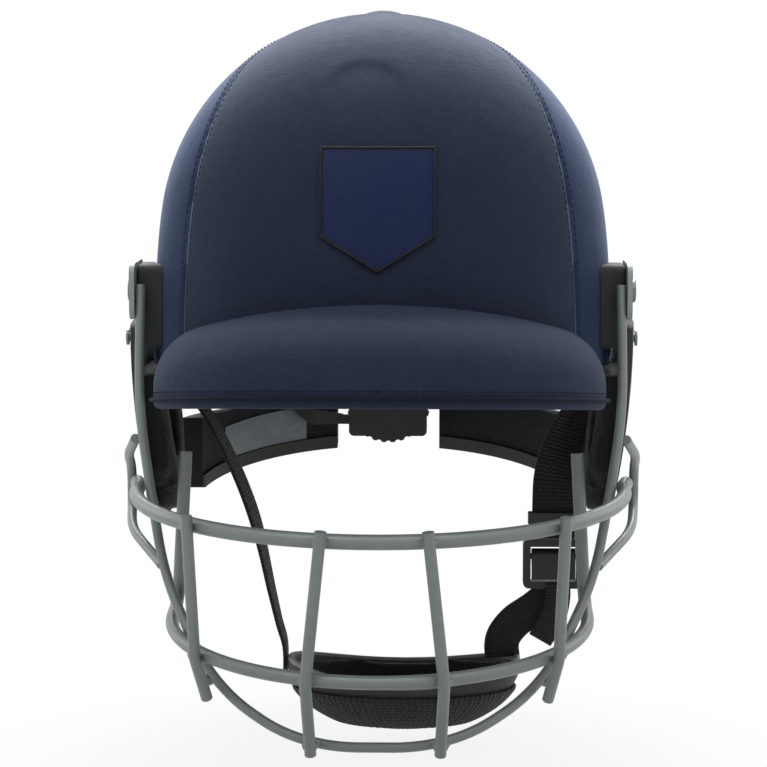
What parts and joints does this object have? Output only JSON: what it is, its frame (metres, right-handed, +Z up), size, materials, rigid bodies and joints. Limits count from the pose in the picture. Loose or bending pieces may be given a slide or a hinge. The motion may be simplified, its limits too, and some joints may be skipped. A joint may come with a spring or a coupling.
{
  "type": "cricket helmet",
  "caption": "Cricket batting helmet: cloth-covered dome and peak, wire face grille on temple pivots, ear and nape guards, fit dial and a chin strap with cup and buckle.",
  "frame": {"origin": "seat of the head: middle of the head opening at brow level", "axes": "+Z up towards the crown, -Y the way the wearer faces, +X the wearer's left"},
  "size_m": [0.2266, 0.2931, 0.3186],
  "materials": {
    "cover_cloth": "matt woven cloth",
    "piping": "woven piping",
    "patch": "blank woven patch",
    "shell": "moulded",
    "liner": "moulded foam",
    "padding": "padded cloth",
    "ear_guard": "grained",
    "grille": "powder coated wire",
    "fixings": "plated",
    "nape_foam": "moulded foam",
    "nape_trim": "moulded band",
    "black_plastic": "moulded",
    "sticker": "silver film",
    "webbing": "ribbed webbing",
    "chin_cup": "soft moulding"
  },
  "bodies": {
    "helmet": {"cover_centre_panel": "cover_cloth", "cover_side_panel_left": "cover_cloth", "cover_side_panel_right": "cover_cloth", "peak_cover": "cover_cloth", "crown_button": "cover_cloth", "peak_piping": "piping", "brow_patch": "patch", "outer_shell": "shell", "peak_board": "shell", "impact_liner": "liner", "brow_pad": "padding", "nape_pad": "padding", "side_pads": "padding", "crown_pad": "padding", "ear_pad_left": "padding", "ear_pad_right": "padding", "ear_guard_left": "ear_guard", "ear_guard_right": "ear_guard", "temple_block_left": "ear_guard", "temple_block_right": "ear_guard", "ear_guard_spacers": "ear_guard", "temple_screws": "fixings", "temple_washers": "fixings", "temple_nuts": "fixings", "ear_guard_rivets": "fixings", "strap_rivets": "fixings", "nape_guard_left": "nape_foam", "nape_guard_right": "nape_foam", "nape_trims": "nape_trim", "nape_clips": "black_plastic", "adjuster_housing": "black_plastic", "adjuster_hanger": "black_plastic", "arm_sleeves": "black_plastic", "size_sticker": "sticker"},
    "grille": {"grille_top_bar": "grille", "grille_middle_bar": "grille", "grille_side_wire": "grille", "grille_side_loop_left": "grille", "grille_side_loop_right": "grille", "grille_inner_upright_left": "grille", "grille_inner_upright_right": "grille", "grille_outer_upright_left": "grille", "grille_outer_upright_right": "grille", "temple_plate_left": "grille", "temple_plate_right": "grille"},
    "dial": {"adjuster_dial": "black_plastic", "adjuster_pinion": "black_plastic"},
    "arm_left": {"adjuster_arm_left": "black_plastic"},
    "arm_right": {"adjuster_arm_right": "black_plastic"},
    "chin_strap": {"strap_right": "webbing", "strap_left": "webbing", "strap_left_lower": "webbing", "strap_tail": "webbing", "buckle_frame": "black_plastic", "chin_cup": "chin_cup", "chin_pad": "padding", "cup_webbing": "webbing"},
    "lever": {"buckle_lever": "black_plastic"},
    "keeper": {"strap_keeper": "black_plastic"}
  },
  "joints": [
    {"name": "grille_tilt", "type": "hinge", "parent": "helmet", "child": "grille", "pos_m": [0, -0.038, 0.02], "axis": [-1, 0, 0], "range_deg": [0, 4]},
    {"name": "dial_turn", "type": "hinge", "parent": "helmet", "child": "dial", "pos_m": [0, 0.11, -0.046], "axis": [0, 1, 0], "range_deg": [-45, 45]},
    {"name": "arm_left_slide", "type": "slide", "parent": "helmet", "child": "arm_left", "axis": [1, 0, 0], "range_m": [-0.004, 0.004]},
    {"name": "arm_right_slide", "type": "slide", "parent": "helmet", "child": "arm_right", "axis": [-1, 0, 0], "range_m": [-0.004, 0.004]},
    {"name": "strap_swing", "type": "hinge", "parent": "helmet", "child": "chin_strap", "pos_m": [0, -0.018, -0.004], "axis": [-1, 0, 0], "range_deg": [-20, 7]},
    {"name": "lever_lift", "type": "hinge", "parent": "chin_strap", "child": "lever", "pos_m": [0.076, -0.02, -0.0998], "axis": [-1, 0, 0], "range_deg": [0, 50]},
    {"name": "keeper_slide", "type": "slide", "parent": "chin_strap", "child": "keeper", "axis": [0, 0, 1], "range_m": [-0.005, 0.008]}
  ],
  "couplings": [
    {"joint": "arm_left_slide", "follows": "dial_turn", "m_per_rad": 0.005},
    {"joint": "arm_right_slide", "follows": "dial_turn", "m_per_rad": 0.005}
  ]
}
